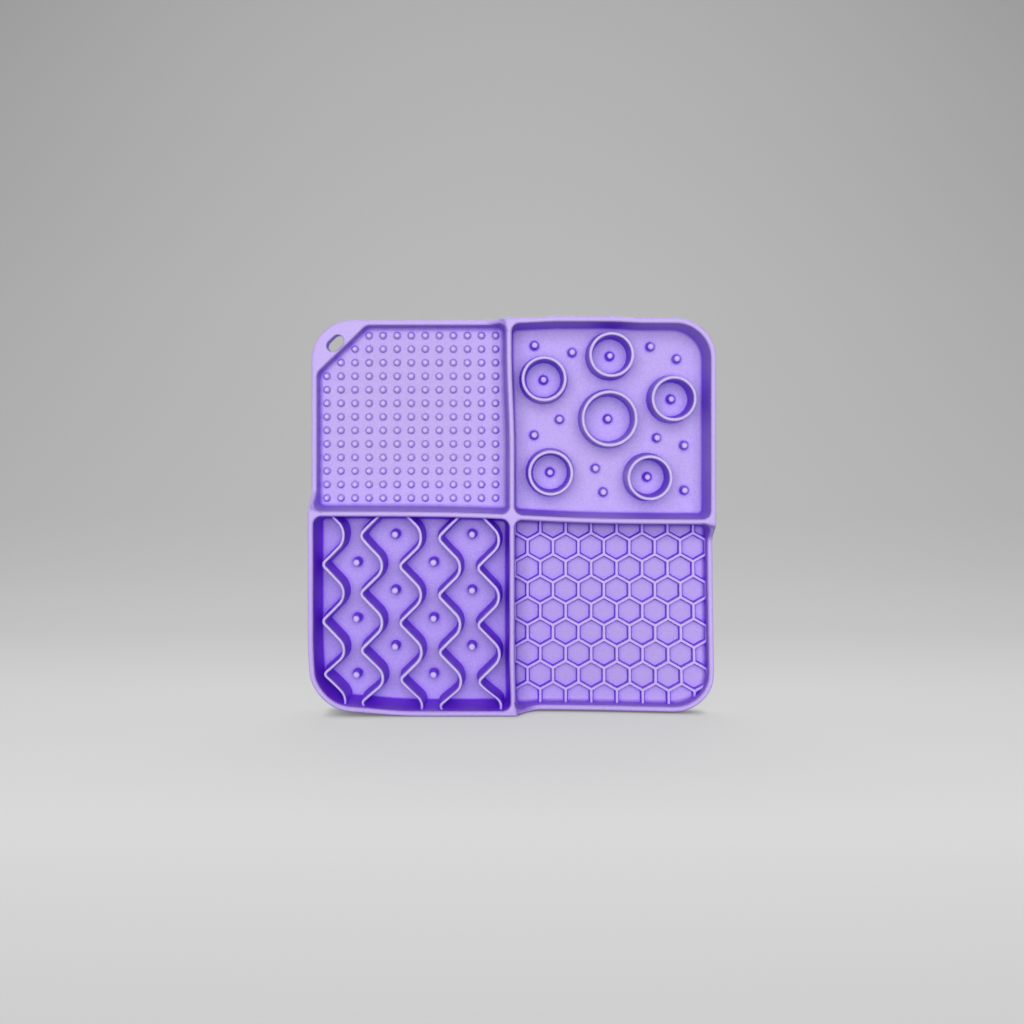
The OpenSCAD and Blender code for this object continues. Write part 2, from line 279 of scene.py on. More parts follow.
def tray_profile(top, foot_r):
    """From a tray's floor up its wall and over the crest."""
    lean = math.degrees(DRAFT)
    foot = (-foot_r * (1 - math.sin(DRAFT)) / math.cos(DRAFT), SHEET_T + foot_r)
    crest = (flare(top - CREST_R) + CREST_R / math.cos(DRAFT), top - CREST_R)
    return curve(foot, foot_r, -90, -lean) + curve(crest, CREST_R, 180 - lean, 90)


def edge_profile(top):
    """From the crest down the outside of the mat to its back."""
    return curve((-EDGE_R, top - EDGE_R), EDGE_R, 90, 0) + curve((-BACK_R, BACK_R), BACK_R, 0, -90)


def slot_profile(top):
    """From the face of the tab through the slot to the back."""
    return curve((SLOT_R, top - SLOT_R), SLOT_R, 90, 180) + curve((SLOT_R, SLOT_R), SLOT_R, 180, 270)


print("Points up a wall and over its crest:", len(tray_profile(TALL_TOP, FOOT_R["rings"])))

# %% [markdown]
# A slot goes through the tab, so that the mat can hang on a hook. It could be cut with a boolean.
# Laid as one more outline, it gets its round edges with the rest. The grids below remember which
# tray they belong to, because each tray has a material of its own, with its own painted shade.

# %% Lay the grids
SLOT_L = 9.7
SLOT_W = 6.0
SLOT_INSET = 11.8


def slot_outline():
    """A stadium at 45 degrees in the tab."""
    half, r = (SLOT_L - SLOT_W) / 2, SLOT_W / 2
    middle = Vector((LEFT + SLOT_INSET, MAT_H - SLOT_INSET))
    way = Vector((1, 1)).normalized()
    return closed([
        arc(middle + way * half, r, -45, 135, LOW_TOP),
        arc(middle - way * half, r, 135, 315, LOW_TOP)])


def grid(bm, outline, profile, finish=0, *sizes):
    """One row of vertices for each step of the profile, joined by four-sided faces."""
    columns = [[bm.verts.new((*(p + out * d), z)) for d, z in profile(top, *sizes)]
        for p, out, top, _ in outline]
    for a, b in zip(columns, columns[1:] + columns[:1]):
        for i in range(len(a) - 1):
            bm.faces.new((a[i], b[i], b[i + 1], a[i + 1])).material_index = finish
    return columns


shell = bmesh.new()
tray_grids = {}
for finish, (name, outline) in enumerate(TRAYS.items(), 1):
    tray_grids[name] = grid(shell, outline, tray_profile, finish, FOOT_R[name])
edge_grid = grid(shell, OUTER, edge_profile)
slot = slot_outline()
slot_grid = grid(shell, slot, slot_profile)
print("Faces in the walls and edges:", len(shell.faces))

# %% Floors, and the land of the sweeps
for finish, columns in enumerate(tray_grids.values(), 1):
    shell.faces.new([column[0] for column in columns]).material_index = finish

inner = {place[3]: column[-1] for name, columns in tray_grids.items()
    for place, column in zip(TRAYS[name], columns)}
outer = {place[3]: column[0] for place, column in zip(OUTER, edge_grid)}
LAST_ROW = len(ROWS) - 1
tall_rim, low_rim = [], []
for name in ("left", "top", "bottom", "right"):
    for row in range(LAST_ROW):
        shell.faces.new((inner[name, row], inner[name, row + 1],
            outer[name, row + 1], outer[name, row]))
    tall_rim.append(shell.edges.get((inner[name, 0], outer[name, 0])))
    low_rim.append(shell.edges.get((inner[name, LAST_ROW], outer[name, LAST_ROW])))
print("Faces with the floors and sweeps:", len(shell.faces))

# %% [markdown]
# What is left open is flat: the land on top of the walls and tab, at two heights, and the back.
# Each is filled in one go from the loops of edges round it.

# %% Fill the land and the back


def level_edges(outline, columns, at, top):
    """Edges of the land's rim that lie level at the given height."""
    line = list(zip(outline, columns))
    return [shell.edges.get((a[at], b[at])) for (p, a), (q, b) in zip(line, line[1:] + line[:1])
        if p[2] == q[2] == top]


borders = [(TRAYS[name], columns, -1) for name, columns in tray_grids.items()]
for border in borders + [(OUTER, edge_grid, 0), (slot, slot_grid, 0)]:
    tall_rim += level_edges(*border, TALL_TOP)
    low_rim += level_edges(*border, LOW_TOP)
back_rim = []
for columns in (edge_grid, slot_grid):
    loop = [column[-1] for column in columns]
    back_rim += [shell.edges.get(pair) for pair in zip(loop, loop[1:] + loop[:1])]
for rim, up in ((tall_rim, 1), (low_rim, 1), (back_rim, -1)):
    bmesh.ops.triangle_fill(shell, use_beauty=True, edges=rim, normal=(0, 0, up))
print("Faces in the whole shell:", len(shell.faces))

# %% [markdown]
# ## Nodes
# Shaders and Geometry Nodes are both trees of nodes. They could be linked by hand, node by node.
# Here a wire is one output, and sums on wires add Math nodes, so a rule reads as it would on
# paper. Any other node comes from one method of a bench.

# %% Wires


def maths(operation, turned=False):
    """A method that adds one Math node, with the wire itself last if the sum is turned round."""

    def method(wire, *others):
        values = dict(enumerate((*others, wire) if turned else (wire, *others)))
        return wire.bench.node("ShaderNodeMath", values, operation=operation)[0]

    return method


class Wire:
    """One output of a node. Sums on it add Math nodes to its tree."""

    def __init__(self, bench, socket):
        self.bench = bench
        self.socket = socket

    __add__ = __radd__ = maths("ADD")
    __mul__ = __rmul__ = maths("MULTIPLY")
    __sub__ = maths("SUBTRACT")
    __rsub__ = maths("SUBTRACT", turned=True)
    __truediv__ = maths("DIVIDE")
    __rtruediv__ = maths("DIVIDE", turned=True)
    __lt__ = maths("LESS_THAN")
    __gt__ = maths("LESS_THAN", turned=True)
    __mod__ = maths("FLOORED_MODULO")
    __rmod__ = maths("FLOORED_MODULO", turned=True)
    root = maths("SQRT")
    fold = maths("PINGPONG")
    rounded = maths("ROUND")


class Made:
    """A node on a bench. Its outputs are read by name or number, as wires."""

    def __init__(self, bench, node):
        self.bench = bench
        self.node = node

    def __getitem__(self, key):
        return Wire(self.bench, self.node.outputs[key])


print("Sums on wires: + - * / % <, and root, fold and rounded")

# %% Benches


class Bench:
    """Adds nodes and links to one tree."""

    def __init__(self, tree):
        self.tree = tree

    def feed(self, node, sockets):
        """Links wires to a node's sockets, and writes plain values on the others."""
        for key, value in sockets.items():
            if isinstance(value, Wire):
                self.tree.links.new(value.socket, node.inputs[key])
            else:
                node.inputs[key].default_value = value

    def node(self, kind, sockets=None, **settings):
        """A node of this kind. Its settings go in before the values or wires of its sockets."""
        made = self.tree.nodes.new(kind)
        for name, value in settings.items():
            if name == "stops":
                stops = made.color_ramp.elements
                while len(stops) < len(value):
                    stops.new(1)
                for i, (place, colour) in enumerate(value):
                    stops[i].position, stops[i].color = place, colour
            else:
                setattr(made, name, value)
        self.feed(made, sockets or {})
        return Made(self, made)

    def axes(self, vector):
        """A vector's X, Y and Z, as outputs 0, 1 and 2."""
        return self.node("ShaderNodeSeparateXYZ", {0: vector})

    def blend(self, share, first, second):
        """From one colour to another by a share from 0 to 1."""
        return self.node("ShaderNodeMix", {0: share, 6: first, 7: second}, data_type="RGBA")[2]


trial = Bench(bpy.data.node_groups.new("trial", "ShaderNodeTree"))
1 - trial.node("ShaderNodeValue")[0] / 2
print("The rule 1 - value / 2 took", len(trial.tree.nodes), "nodes")
bpy.data.node_groups.remove(trial.tree)

# %% [markdown]
# ## The silicone
# Real silicone is dyed right through. It looks satin rather than glossy, with the faint grain of
# the mould on its skin. Light that has bounced between close walls comes back richer in colour.
# Subsurface scattering would show that too, but slowly, and a baked texture would lose it. So
# shade is painted into the colour: the recipe blends from a pale dye in the open to a dark, deep
# one in nooks, which the Ambient Occlusion node finds, and on steep walls. This painted shade
# stands in for the shade that falls there and for the richer bounced light.

# %% Silicone material
# The dark colour of painted shade, for nooks, hemmed-in floors, walls and steep places
PAINTED_SHADE_DYE = (0.19, 0.026, 0.74)
# How far the two Ambient Occlusion nodes look, in metres
NEAR = 0.0025
WIDE = 0.022
ROOM_SAMPLES = 6
# How much of the pale dye shows where no shade is painted
OPEN = 0.97
# The scale and detail of the clouds and the grain, and how much they tint and roughen the skin
CLOUDS, CLOUD_TINT, CLOUD_ROUGH = (28, 3), 0.08, 0.12
GRAIN, GRAIN_TINT, GRAIN_ROUGH = (1700, 2), 0.8, 0.08
GRAIN_DEPTH = 0.00005
GRAIN_BUMP = 0.5
SATIN = 0.48
SILICONE_IOR = 1.41
SPECULAR = 0.55


def new_material(name):
    """A material with nodes, a bench for its tree, and its shader."""
    material = bpy.data.materials.new(name)
    material.use_nodes = True
    return material, Bench(material.node_tree), material.node_tree.nodes["Principled BSDF"]


def free_room(bench, reach):
    """1 in the open, and less where something stands within reach."""
    return bench.node("ShaderNodeAmbientOcclusion", {"Distance": reach}, samples=ROOM_SAMPLES)["AO"]


def silicone(name, dye, nook, floor, wall, steep):
    """Satin silicone with painted shade. Four weights say how far it turns to the dark dye of
    painted shade: in nooks, on hemmed-in floors and walls, and on anything steep."""
    material, bench, shader = new_material(name)
    place = bench.node("ShaderNodeTexCoord")["Object"]
    cloud, grain = (bench.node("ShaderNodeTexNoise",
        {"Vector": place, "Scale": scale, "Detail": detail})[0]
        for scale, detail in (CLOUDS, GRAIN))
    near, wide = free_room(bench, NEAR), free_room(bench, WIDE)
    facing = bench.axes(bench.node("ShaderNodeNewGeometry")["Normal"])[1]
    slope = 1 - facing * facing
    # Painted shade: the dark dye gains in nooks, on hemmed-in floors and walls, and on steep places
    painted_shade = (1 - wide) * (floor + (wall - floor) * slope) + (1 - near) * nook + slope * steep
    pale_share_after_shade = OPEN - painted_shade + CLOUD_TINT * (cloud - 0.5) + GRAIN_TINT * (grain - 0.5)
    bump = bench.node("ShaderNodeBump",
        {"Strength": GRAIN_BUMP, "Distance": GRAIN_DEPTH, "Height": grain})[0]
    bench.feed(shader, {
        "Base Color": bench.blend(pale_share_after_shade, PAINTED_SHADE_DYE + (1,), dye + (1,)),
        "Roughness": SATIN + CLOUD_ROUGH * (cloud - 0.5) + GRAIN_ROUGH * (grain - 0.5),
        "Normal": bump, "IOR": SILICONE_IOR, "Specular IOR Level": SPECULAR})
    return material


print("Silicone: roughness about", SATIN, "and IOR", SILICONE_IOR)

# %% [markdown]
# One dye could serve the whole mat. Here each kind of shape has its own copy of the dye, paler or
# darker, and its own weights of painted shade, so that each tray is shaded for its own mix of
# walls. The thin crests of fins, rings, pegs and nubs get the palest dye, a painted highlight.

# %% Finishes
# A paler dye for thin crests, a painted highlight
PAINTED_HIGHLIGHT_DYE = (0.63, 0.53, 0.89)
# The pale dye, then the weights of painted shade in nooks, on floors, on walls and on steep places
PAINTED_SHADE_RECIPES = {
    "rims": ((0.56, 0.43, 0.89), 0.2, 0.1, 0.5, 0.05),
    "nub_tray": ((0.5, 0.39, 0.765), 0.35, 0.15, 0.7, 0.25),
    "ring_tray": ((0.495, 0.38, 0.75), 0.5, 0.15, 0.7, 0.3),
    "wave_tray": ((0.47, 0.35, 0.74), 0.8, 0.25, 1.4, 0.4),
    "comb_tray": ((0.455, 0.335, 0.745), 0.6, 0.15, 0.8, 0.25),
    "fins": (PAINTED_HIGHLIGHT_DYE, 0.8, 0.4, 2.3, 0.1),
    "rings": (PAINTED_HIGHLIGHT_DYE, 0.6, 0.3, 1.1, 0.1),
    "ribs": ((0.57, 0.46, 0.87), 0.6, 0.3, 1.0, 0.35),
    "pegs": (PAINTED_HIGHLIGHT_DYE, 0.6, 0.1, 1.3, 0.1),
    "nubs": (PAINTED_HIGHLIGHT_DYE, 0.4, 0.0, 0.8, 0.0)}
SKINS = {name: silicone("purple_silicone_painted_shade_" + name, *recipe) for name, recipe in PAINTED_SHADE_RECIPES.items()}
print("Finishes:", ", ".join(SKINS))

# %% [markdown]
# ## Slack
# Silicone is too soft to stand quite straight. The cross walls wander, the top rim sinks, the
# floor pushes the lower left corner up, and the lower right one curls forward. A lattice or a
# cloth simulation could bend the mat, but hardly to the millimetre. Here each of these is a small
# shift that fades out with distance.

# %% How shifts fade


def ramp(value, start, end):
    """From 0 at the start to 1 at the end, softly. The end may lie on either side."""
    t = min(1, max(0, (value - start) / (end - start)))
    return t * t * (3 - 2 * t)


def beside(distance, full, reach):
    """1 close to a line, and 0 past its reach."""
    return 1 - ramp(abs(distance), full, reach)


print("Halfway down a ramp:", ramp(0.5, 0, 1))

# %% Shifts of the walls, in millimetres
CROSS_LIFT = 1.2
CROSS_SAG = 2.7
CROSS_TURN_X, CROSS_TURN_W = 8, 38
UPRIGHT_LEAN = 1.4
UPRIGHT_LEAN_Y = (130, 180)
UPRIGHT_FOOT = 0.5
UPRIGHT_FOOT_Y = (30, 5)
DIVIDER_REACH = (5, 16)
TOP_SINK = 0.8
TOP_HELD_X = 35
TOP_HELD_REACH = (12, 32)
TOP_REACH = (6, 30)
CORNER_PUSH = 2.9
CORNER_PUSH_X = (-45, -95)
CORNER_PUSH_REACH = (8, 34)
CORNER_SQUEEZE = 1.2
SQUEEZE_REACH_X = (6, 30)
SQUEEZE_REACH_Y = (6, 40)
LOW_RIM_GAP = 0.7
LOW_RIM_GAP_X = (3, 15)
LOW_RIM_REACH = (4, 16)


def slack(p):
    """Shifts a point of the walls within the mat's plane."""
    turn = math.tanh((p.x - CROSS_TURN_X) / CROSS_TURN_W)
    cross = (CROSS_LIFT - CROSS_SAG) / 2 - (CROSS_LIFT + CROSS_SAG) / 2 * turn
    upright = UPRIGHT_FOOT * ramp(p.y, *UPRIGHT_FOOT_Y) - UPRIGHT_LEAN * ramp(p.y, *UPRIGHT_LEAN_Y)
    sink = TOP_SINK * (1 - beside(p.x - TOP_HELD_X, *TOP_HELD_REACH))
    push = CORNER_PUSH * ramp(p.x, *CORNER_PUSH_X)
    squeeze = CORNER_SQUEEZE * beside(p.x - LEFT, *SQUEEZE_REACH_X)
    gap = LOW_RIM_GAP * ramp(p.x, *LOW_RIM_GAP_X)
    dx = upright * beside(p.x, *DIVIDER_REACH) + squeeze * beside(p.y, *SQUEEZE_REACH_Y)
    dy = cross * beside(p.y - MIDDLE, *DIVIDER_REACH) - sink * beside(p.y - MAT_H, *TOP_REACH)
    dy += push * beside(p.y, *CORNER_PUSH_REACH) + gap * beside(p.y, *LOW_RIM_REACH)
    return Vector((p.x + dx, p.y + dy, p.z))


print("The cross wall's right end sinks by", round(MIDDLE - slack(Vector((95, MIDDLE, 0))).y, 2))

# %% The other shifts, in millimetres
CORNER_CURL = 8
CURL_X, CURL_Y = (10, 120), (90, -20)
FACE_SHIFT = 1.3
FACE_X, FACE_END_X = (0, 2.5), (3, 9)
FIN_SAG = 0.024
FIN_HELD_X = LEFT + 5
FIN_FREE_Y = (3, 17)
FIN_DRIFT = 0.6
DRIFT_X, DRIFT_Y = (LEFT + 8, LEFT + 28), (8, 58)


def curl(p):
    """Lifts the lower right corner out of the mat's plane."""
    lift = CORNER_CURL * ramp(p.x, *CURL_X) * ramp(p.y, *CURL_Y)
    return Vector((p.x, p.y, p.z + lift))


def upright_face(p):
    """Draws in the foot of the divider's right face, which hardly leans."""
    low = 1 - min(1, max(0, (p.z - SHEET_T) / (TALL_TOP - SHEET_T)))
    shift = FACE_SHIFT * low * ramp(p.x, *FACE_X) * (1 - ramp(p.x, *FACE_END_X))
    return Vector((p.x - shift, p.y, p.z))


def sag(p):
    """Lets a fin hang from its lower end up, the more the nearer it is to the middle of the mat."""
    drop = FIN_SAG * (p.x - FIN_HELD_X) * ramp(p.y, *FIN_FREE_Y)
    drift = FIN_DRIFT * ramp(p.y, *DRIFT_Y) * ramp(p.x, *DRIFT_X)
    return Vector((p.x - drift, p.y - drop, p.z))


print("The lower right corner curls by", round(curl(Vector((RIGHT, 0, 0))).z, 1))

# %% [markdown]
# ## From bmesh to piece
# Every piece ends the same way. Its doubles are merged, its faces turned outward and its open
# edges counted. Then it is bent, scaled to metres and stood up, and rides on the mat's one body.
# Its place stays in the mesh, so that patterns on Object coordinates stay put.

# %% Finish a piece
DOUBLES = 0.002
TO_METRES = Matrix.Scale(MM, 4)


def placed(name, data):
    """A new object in the scene."""
    thing = bpy.data.objects.new(name, data)
    bpy.context.scene.collection.objects.link(thing)
    return thing


def finish_piece(name, bm, nodes, skins, bends=()):
    """Turns a bmesh in millimetres into a piece that stands for some nodes of the CAD model."""
    bmesh.ops.remove_doubles(bm, verts=bm.verts, dist=DOUBLES)
    bmesh.ops.recalc_face_normals(bm, faces=bm.faces)
    open_edges = sum(len(edge.link_faces) != 2 for edge in bm.edges)
    for face in bm.faces:
        face.smooth = True
    for vertex in bm.verts:
        for bend in bends:
            vertex.co = bend(vertex.co)
    mesh = bpy.data.meshes.new(name)
    bm.to_mesh(mesh)
    bm.free()
    mesh.transform(STAND_UP @ TO_METRES)
    for skin in skins:
        mesh.materials.append(SKINS[skin])
    piece = placed(name, mesh)
    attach(piece, "root")
    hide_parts(*nodes)
    print(f"{name}: {len(mesh.polygons)} faces, {open_edges} open edges")


print("The mat's top stands at", round((STAND_UP @ TO_METRES @ Vector((0, MAT_H, 0))).z, 3), "m")

# %% [markdown]
# A flat face can't curl. So the faces of the quarter that curls are cut along a grid of planes
# before they are bent. Subdividing the whole shell would do as well, with many more faces.

# %% Make the shell
SHELL_NODES = ("back_sheet", "cross_divider", "rings_tray_wall", "waves_tray_wall",
    "honeycomb_tray_wall", "dots_tray_side_wall", "dots_tray_top_wall", "hanging_tab")
# In the order of the finishes that the grids were given
SHELL_SKINS = ("rims", "nub_tray", "ring_tray", "wave_tray", "comb_tray")
CUT_STEP = 8
CUT_COUNT = 11
ON_PLANE = 1e-4
for i in range(1, CUT_COUNT + 1):
    for place, way in (((i * CUT_STEP, 0, 0), (1, 0, 0)), ((0, i * CUT_STEP, 0), (0, 1, 0))):
        bmesh.ops.bisect_plane(shell, geom=shell.verts[:] + shell.edges[:] + shell.faces[:],
            dist=ON_PLANE, plane_co=place, plane_no=way)
finish_piece("mat_shell", shell, SHELL_NODES, SHELL_SKINS, (upright_face, slack, curl))

# %% [markdown]
# ## Sections of the raised shapes
# Rings, fins and pegs all grow from the floor with a soft foot and a round top. A section is drawn
# once as a thin line of edges, and Geometry Nodes turn it round a centre or pull it along a
# path. The section runs on below the floor, so that each piece is closed and well rooted.

# %% Sections
ROOT = 1.0
SINK = 0.02
DOME_SHARE = 0.24
PEG_DOME_STEPS = 5


def half_section(half_crest, height, lean, crest_r, foot_r):
    """Right half of a wall's section, from the middle of its crest down to its root."""
    slope = math.radians(lean)
    crest = (half_crest + crest_r * (math.tan(slope) - 1 / math.cos(slope)), height - crest_r)
    foot_x = half_crest + (height - foot_r) * math.tan(slope) + foot_r / math.cos(slope)
    line = curve(crest, crest_r, 90, lean)
    line += curve((foot_x, foot_r), foot_r, 180 + lean, 270)
    return [(x, y - SINK) for x, y in line] + [(foot_x, -ROOT)]


def wall_section(*sizes):
    """A whole section, closed under the floor."""
    right = half_section(*sizes)
    return [(-x, y) for x, y in reversed(right)] + right


def dome(top_d, height, steps):
    """From the middle of a domed top out to its rim."""
    rise = top_d * DOME_SHARE
    angles = [math.pi / 2 * i / steps for i in range(steps + 1)]
    return [(top_d / 2 * math.sin(a), height - rise + rise * math.cos(a)) for a in angles]


def peg_section(foot_d, top_d, height, foot_r):
    """From the middle of a domed top down to the root, open on the axis."""
    line = dome(top_d, height, PEG_DOME_STEPS)
    slope = math.atan((foot_d - top_d) / 2 / (height - top_d * DOME_SHARE))
    centre = (foot_d / 2 - foot_r * math.tan(slope) + foot_r / math.cos(slope), foot_r)
    line += curve(centre, foot_r, 180 + math.degrees(slope), 270)[::2]
    return [(x, y - SINK) for x, y in line] + [(centre[0], -ROOT), (0, -ROOT)]


def line_mesh(name, points, loop, shift=0):
    """Edges that Geometry Nodes read as a curve. Its Y points down for Curve to Mesh."""
    edges = [(i, i + 1) for i in range(len(points) - 1)]
    if loop:
        edges.append((len(points) - 1, 0))
    mesh = bpy.data.meshes.new(name)
    mesh.from_pydata([(x - shift, -y, 0) for x, y in points], edges, [])
    return mesh


print("A thin dome has", len(dome(2, 2, PEG_DOME_STEPS)), "points from its middle to its rim")

# %% [markdown]
# ## Trees of Geometry Nodes
# A tree's own inputs are its sizes. A modifier's input is set by its identifier before the object
# is first evaluated. The result becomes a plain mesh, and the helper object is thrown away.

# %% Start, end and run a tree


def new_tree(name, inputs):
    """An empty tree with these named inputs, and wires from each of them."""
    tree = bpy.data.node_groups.new(name, "GeometryNodeTree")
    tree.interface.new_socket(name="Geometry", in_out="OUTPUT", socket_type="NodeSocketGeometry")
    for label, kind in {"Geometry": "Geometry", **inputs, "Finish": "Material"}.items():
        tree.interface.new_socket(name=label, in_out="INPUT", socket_type="NodeSocket" + kind)
    bench = Bench(tree)
    return bench, bench.node("NodeGroupInput")


def end_tree(bench, given, shape):
    """Realize Instances and Set Material come last, because the export drops instances."""
    real = bench.node("GeometryNodeRealizeInstances", {0: shape})[0]
    joined = bench.node("GeometryNodeMergeByDistance",
        {"Geometry": real, "Distance": DOUBLES})[0]
    done = bench.node("GeometryNodeSetMaterial", {0: joined, "Material": given["Finish"]})[0]
    bench.node("NodeGroupOutput", {0: done})
    print(f"Tree '{bench.tree.name}': {len(bench.tree.nodes)} nodes")
    return bench.tree


def grown(tree, seed, skin, values):
    """Runs a tree on a seed mesh and gives the result as a bmesh."""
    helper = placed("helper", seed)
    modifier = helper.modifiers.new("grow", "NODES")
    modifier.node_group = tree
    values = {"Finish": SKINS[skin], **values}
    for item in tree.interface.items_tree:
        if item.in_out == "INPUT" and item.name in values:
            modifier[item.identifier] = values[item.name]
    ready = helper.evaluated_get(bpy.context.evaluated_depsgraph_get())
    result = bpy.data.meshes.new_from_object(ready)
    bpy.data.objects.remove(helper)
    bm = bmesh.new()
    bm.from_mesh(result)
    bpy.data.meshes.remove(result)
    return bm


print("Trees merge points closer than", DOUBLES, "mm")

# %% [markdown]
# ## Rings and pegs
# Six rings and twenty-nine pegs are all turned shapes. Each could be a lathe object of its own.
# One tree is shorter: it turns a section and sets a copy on every vertex of a second mesh, which
# holds nothing but places.

# %% The tree for turned shapes
TURN = {"Turn Radius": "Float", "Sides": "Int"}


def lathe(bench, given):
    """Turns the section in the incoming geometry round a circle."""
    section = bench.node("GeometryNodeMeshToCurve", {0: given["Geometry"]})[0]
    circle = bench.node("GeometryNodeCurvePrimitiveCircle",
        {"Resolution": given["Sides"], "Radius": given["Turn Radius"]})[0]
    return bench.node("GeometryNodeCurveToMesh", {0: circle, "Profile Curve": section})[0]


def copies(bench, places, shape):
    """Sets the shape on every vertex of a mesh."""
    dots = bench.node("GeometryNodeMeshToPoints", {0: places})[0]
    return bench.node("GeometryNodeInstanceOnPoints", {"Points": dots, "Instance": shape})[0]


def turned_tree():
    bench, given = new_tree("turned shapes", {"Places": "Object", **TURN})
    places = bench.node("GeometryNodeObjectInfo", {"Object": given["Places"]})["Geometry"]
    return end_tree(bench, given, copies(bench, places, lathe(bench, given)))


TURNED_TREE = turned_tree()

# %% Run it for one piece
# A peg's section starts on its axis, so it is moved in by the radius of the circle it goes round
PEG_TURN = 1


def turned_piece(name, node, places, section, skin, sides, ring_r=None):
    """A piece of rings, or of pegs where no radius is given, at these places on the tray floor."""
    spots = bpy.data.meshes.new("spots")
    spots.from_pydata([(x, y, SHEET_T) for x, y in places], [], [])
    marker = placed("marker", spots)
    seed = line_mesh("section", section, bool(ring_r), 0 if ring_r else PEG_TURN)
    bm = grown(TURNED_TREE, seed, skin,
        {"Places": marker, "Turn Radius": ring_r or PEG_TURN, "Sides": sides})
    bpy.data.objects.remove(marker)
    finish_piece(name, bm, [node], [skin])


print("Pegs go round a circle with a radius of", PEG_TURN, "mm")

# %% [markdown]
# Each ring stands round a peg, and paste is spread between them. Their places follow no rule, so
# they are shares of the room between the tray's walls, and move with the tray if its size changes.

# %% Rings
RING_H = 16
RING_W = 1.9
RING_LEAN = 2.5
RING_CREST = 0.8
RING_ROUND = (0.75, 0.6)
RING_SIDES = 96
WALL_GAP = 0.6
# Radius, and place as shares of the room that is left beside the tray's walls
RINGS = {
    "ring_left": (10.4, 0.005, 0.793), "ring_top": (10.4, 0.497, 0.975),
    "ring_right": (10.4, 0.952, 0.645), "ring_centre": (13.1, 0.481, 0.494),
    "ring_lower_left": (10.4, 0.053, 0.085), "ring_lower_right": (10.4, 0.776, 0.049)}


def narrowed(half_width, height, lean, half_crest):
    """Half the width of a wall's foot, and the lean from there up to a narrower crest."""
    foot = half_width + height * math.tan(math.radians(lean))
    return foot, math.degrees(math.atan((foot - half_crest) / height))


def in_ring_tray(share_x, share_y, keep):
    """A place in the ring tray that keeps this distance from its walls."""
    x0, y0, x1, y1 = RING_TRAY
    return (x0 + keep + share_x * (x1 - x0 - 2 * keep), y0 + keep + share_y * (y1 - y0 - 2 * keep))


ring_foot, ring_lean = narrowed(RING_W / 2, RING_H, RING_LEAN, RING_CREST)
ring_line = wall_section(RING_CREST, RING_H, ring_lean, *RING_ROUND)
ring_places = {}
for node, (radius, share_x, share_y) in RINGS.items():
    ring_places[node] = in_ring_tray(share_x, share_y, radius + ring_foot + WALL_GAP)
    turned_piece("soft_" + node, node, [ring_places[node]], ring_line, "rings", RING_SIDES, radius)

# %% Pegs of the ring tray
PEG_D = 4.6
PEG_TOP_D = 3.2
PEG_H = 5.5
PEG_FOOT_R = 0.8
PEG_SIDES = 32
PEG_SHARES = [(0.064, 0.929), (0.281, 0.888), (0.732, 0.922), (0.884, 0.850), (0.208, 0.493),
    (0.062, 0.400), (0.770, 0.384), (0.927, 0.339), (0.415, 0.204), (0.460, 0.064), (0.929, 0.074)]
peg_line = peg_section(PEG_D, PEG_TOP_D, PEG_H, PEG_FOOT_R)
peg_places = [in_ring_tray(*shares, PEG_D / 2 + WALL_GAP) for shares in PEG_SHARES]
turned_piece("soft_ring_pegs", "ring_pegs", ring_places.values(), peg_line, "pegs", PEG_SIDES)
turned_piece("soft_scattered_pegs", "scattered_pegs", peg_places, peg_line, "pegs", PEG_SIDES)

# %% [markdown]
# ## The nubs
# The nub tray is a regular grid of small domes, less those that would stand in the cut corner. An
# Array modifier could set them, but not leave some out. The tree makes the grid, drops the points
# past the cut and sets one turned nub on each point. A nub is set 163 times, so it has few faces,
# and its foot flares straight through the floor.

# %% A grid of points
GRID = {"Columns": "Int", "Rows": "Int", "Pitch X": "Float", "Pitch Y": "Float", "First": "Vector"}


def point_grid(bench, given):
    """Columns and rows of points at the given pitch, starting at the origin."""
    width = (given["Columns"] - 1) * given["Pitch X"]
    height = (given["Rows"] - 1) * given["Pitch Y"]
    points = bench.node("GeometryNodeMeshGrid", {"Size X": width, "Size Y": height,
        "Vertices X": given["Columns"], "Vertices Y": given["Rows"]})[0]
    half = bench.node("ShaderNodeCombineXYZ", {0: width / 2, 1: height / 2})[0]
    return bench.node("GeometryNodeTransform", {0: points, "Translation": half})[0]


def nub_tree():
    bench, given = new_tree("nub field", {**TURN, **GRID, "Cut": "Float"})
    points = bench.node("GeometryNodeTransform",
        {0: point_grid(bench, given), "Translation": given["First"]})[0]
    place = bench.axes(bench.node("GeometryNodeInputPosition")[0])
    kept = bench.node("GeometryNodeDeleteGeometry",
        {0: points, 1: place[0] - place[1] < given["Cut"]}, domain="POINT")[0]
    return end_tree(bench, given, copies(bench, kept, lathe(bench, given)))


NUB_TREE = nub_tree()

# %% Nub field
NUB_D = 3.8
NUB_TOP_D = 2.6
NUB_H = 2.6
NUB_DOME_STEPS = 3
NUB_SIDES = 10
# Where the flank ends and where the flare ends, from the edge of the foot and the floor
NUB_FLARE = [(-0.1, 0.35), (0.4, -0.35)]
NUB_PITCH = (7.08, 6.82)
NUB_FIRST = (NUB_TRAY[0] + 3.4, NUB_TRAY[1] + 5.2, SHEET_T)
NUB_COUNT = 13
